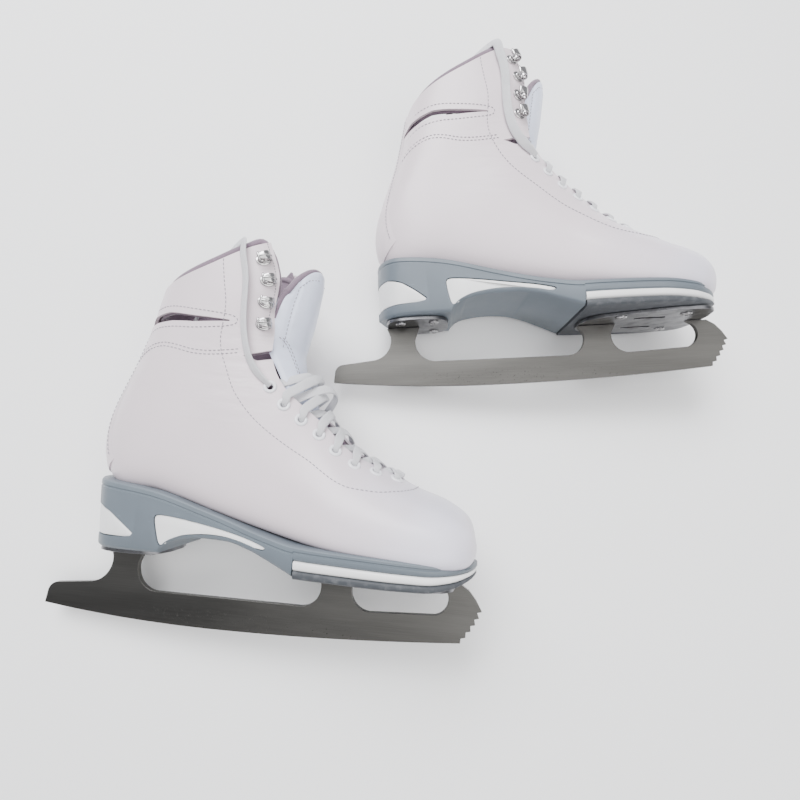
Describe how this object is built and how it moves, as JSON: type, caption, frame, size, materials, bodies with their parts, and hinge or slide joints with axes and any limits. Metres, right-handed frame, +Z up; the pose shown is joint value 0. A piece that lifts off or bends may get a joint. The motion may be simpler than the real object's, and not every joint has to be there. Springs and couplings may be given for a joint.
{
  "type": "pair of figure skates",
  "caption": "Pair of lace-up figure skates lying on their sides: white leather boots, padded tongues, layered soles and steel blades with toe picks.",
  "frame": {"origin": "centre of the pair's bounding box at floor level, measured without the free lace ends", "axes": "+Z up from the floor. +X along the blades, roughly from heel to toe. +Y from the front skate to the rear one, and up each boot from blade to collar."},
  "size_m": [0.531, 0.4779, 0.1039],
  "materials": {
    "leather": "smooth pearl white",
    "lining": "brushed lavender cloth",
    "footbed": "matt",
    "eyelet_facing": "smooth white with enamelled eyelets",
    "tongue": "soft padded white",
    "lace": "flat woven white",
    "sole_grey": "satin blue-grey",
    "sole_white": "satin white",
    "tread": "matt dark grey",
    "plate": "dark polished",
    "chrome": "bright",
    "blade_steel": "brushed, bright at mid-length"
  },
  "bodies": {
    "left_skate": {"left_upper": "leather", "left_lining": "lining", "left_backstay": "leather", "left_footbed": "footbed", "left_facing_medial": "eyelet_facing", "left_facing_lateral": "eyelet_facing", "left_hooks_medial": "chrome", "left_hooks_lateral": "chrome", "left_lace_end_medial": "lace", "left_lace_end_lateral": "lace", "left_lace_run": "lace", "left_tongue_lower": "tongue", "left_outsole": "sole_grey", "left_heel_inlay": "sole_white", "left_waist_inlay": "sole_white", "left_toe_wedge": "sole_white", "left_tread": "tread", "left_sole_plate": "plate", "left_heel_plate": "plate", "left_sole_screw_1": "chrome", "left_sole_screw_2": "chrome", "left_sole_screw_3": "chrome", "left_sole_screw_4": "chrome", "left_heel_screw_1": "chrome", "left_heel_screw_2": "chrome", "left_heel_screw_3": "chrome", "left_heel_screw_4": "chrome", "left_blade": "blade_steel"},
    "left_tongue": {"left_tongue_upper": "tongue"},
    "right_skate": {"right_upper": "leather", "right_lining": "lining", "right_backstay": "leather", "right_footbed": "footbed", "right_facing_medial": "eyelet_facing", "right_facing_lateral": "eyelet_facing", "right_hooks_medial": "chrome", "right_hooks_lateral": "chrome", "right_lace_end_medial": "lace", "right_lace_end_lateral": "lace", "right_lace_run": "lace", "right_tongue_lower": "tongue", "right_outsole": "sole_grey", "right_heel_inlay": "sole_white", "right_waist_inlay": "sole_white", "right_toe_wedge": "sole_white", "right_tread": "tread", "right_sole_plate": "plate", "right_heel_plate": "plate", "right_sole_screw_1": "chrome", "right_sole_screw_2": "chrome", "right_sole_screw_3": "chrome", "right_sole_screw_4": "chrome", "right_heel_screw_1": "chrome", "right_heel_screw_2": "chrome", "right_heel_screw_3": "chrome", "right_heel_screw_4": "chrome", "right_blade": "blade_steel"},
    "right_tongue": {"right_tongue_upper": "tongue"}
  },
  "joints": [
    {"name": "right_skate_lift", "type": "slide", "parent": "left_skate", "child": "right_skate", "axis": [0, 0, 1], "range_m": [0, 0.15]},
    {"name": "left_tongue_fold", "type": "hinge", "parent": "left_skate", "child": "left_tongue", "pos_m": [-0.07198, -0.04462, 0.05486], "axis": [0.1286, 0.0878, -0.9878], "range_deg": [0, 40]},
    {"name": "right_tongue_fold", "type": "hinge", "parent": "right_skate", "child": "right_tongue", "pos_m": [0.12226, 0.14238, 0.0545], "axis": [0.102, 0.103, -0.9894], "range_deg": [0, 40]}
  ]
}
